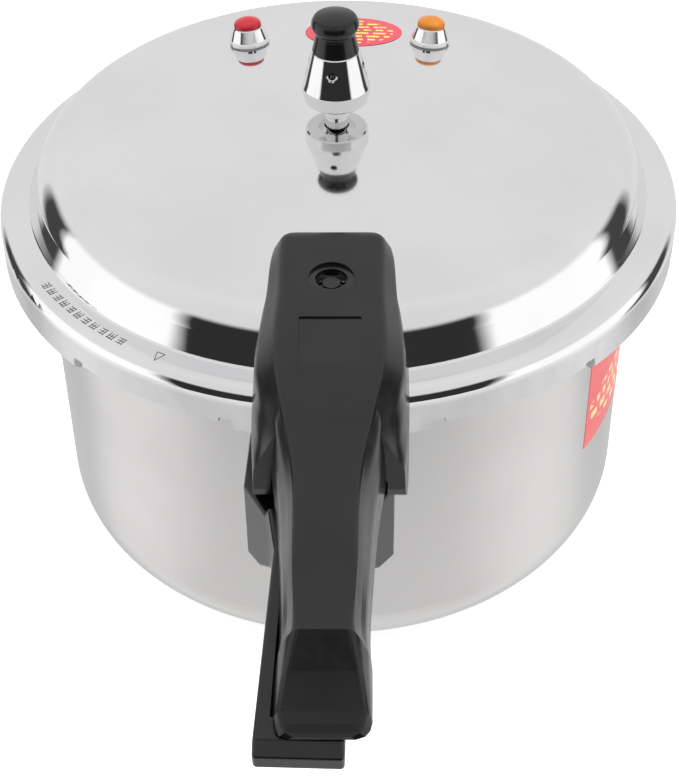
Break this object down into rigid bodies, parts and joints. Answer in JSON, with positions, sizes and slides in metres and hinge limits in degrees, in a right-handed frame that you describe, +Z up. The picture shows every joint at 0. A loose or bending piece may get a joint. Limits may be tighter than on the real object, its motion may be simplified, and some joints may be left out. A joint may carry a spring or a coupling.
{
  "type": "pressure canner",
  "caption": "Straight-sided aluminium pressure canner with a domed bayonet lid, long paired handles, a regulator weight and two safety valves.",
  "frame": {"origin": "centre of the pot's flat base", "axes": "+Z up along the pot's axis; the pot handle points along -Y, the helper handle along +Y"},
  "size_m": [0.278, 0.453, 0.2345],
  "materials": {
    "pot_aluminium": "satin polished",
    "lid_aluminium": "mirror polished",
    "black_phenolic": "moulded, semi-gloss",
    "bracket_steel": "pressed sheet",
    "fastener_steel": "turned",
    "chrome": "polished plating",
    "bright_steel": "drawn and polished",
    "seal_silicone": "matt moulded silicone",
    "red_plastic": "translucent, glossy",
    "amber_plastic": "translucent, glossy",
    "fusible_alloy": "cast, dull",
    "label_foil": "printed film"
  },
  "bodies": {
    "pot": {"pot_shell": "pot_aluminium", "body_label": "label_foil", "pot_handle": "black_phenolic", "pot_handle_bracket": "bracket_steel", "pot_handle_rivets": "fastener_steel", "pot_handle_screw": "fastener_steel", "helper_handle": "black_phenolic", "helper_handle_bracket": "bracket_steel", "helper_handle_rivets": "fastener_steel", "helper_handle_screw": "fastener_steel"},
    "gasket": {"sealing_ring": "seal_silicone"},
    "lid": {"lid_shell": "lid_aluminium", "lid_label": "label_foil", "lid_handle": "black_phenolic", "lid_handle_bracket": "bracket_steel", "lid_handle_rivets": "fastener_steel", "lid_handle_screws": "fastener_steel", "vent_pipe": "chrome", "vent_pipe_washer": "fastener_steel", "vent_pipe_nut": "fastener_steel", "anti_clog_cap": "bright_steel", "red_valve_body": "chrome", "red_valve_cap": "red_plastic", "red_valve_seal": "seal_silicone", "red_valve_nut": "fastener_steel", "fusible_plug": "fusible_alloy", "amber_valve_body": "chrome", "amber_valve_cap": "amber_plastic", "amber_valve_seal": "seal_silicone", "amber_valve_nut": "fastener_steel", "relief_spring": "bright_steel", "float_bush": "chrome", "float_bush_seal": "seal_silicone", "float_bush_nut": "fastener_steel"},
    "weight": {"weight_body": "chrome", "weight_needle": "bright_steel", "weight_knob": "black_phenolic"},
    "float": {"float_pin": "bright_steel", "float_pin_seal": "seal_silicone", "float_button": "black_phenolic"},
    "relief": {"relief_ball": "bright_steel"}
  },
  "joints": [
    {"name": "lid_lift", "type": "slide", "parent": "pot", "child": "gasket", "axis": [0, 0, 1], "range_m": [0, 0.12]},
    {"name": "lid_turn", "type": "hinge", "parent": "gasket", "child": "lid", "pos_m": [0, 0, 0.15], "axis": [0, 0, 1], "range_deg": [-1.5, 28.5]},
    {"name": "weight_lift", "type": "slide", "parent": "lid", "child": "weight", "axis": [0, 0, 1], "range_m": [0, 0.03]},
    {"name": "float_rise", "type": "slide", "parent": "lid", "child": "float", "axis": [0, 0, 1], "range_m": [0, 0.0034]},
    {"name": "relief_lift", "type": "slide", "parent": "lid", "child": "relief", "axis": [0.0606, 0.107, 0.9924], "range_m": [0, 0.0015], "stiffness_N_per_m": 2000, "springref_m": -0.002, "deforming": ["relief_spring"]}
  ]
}
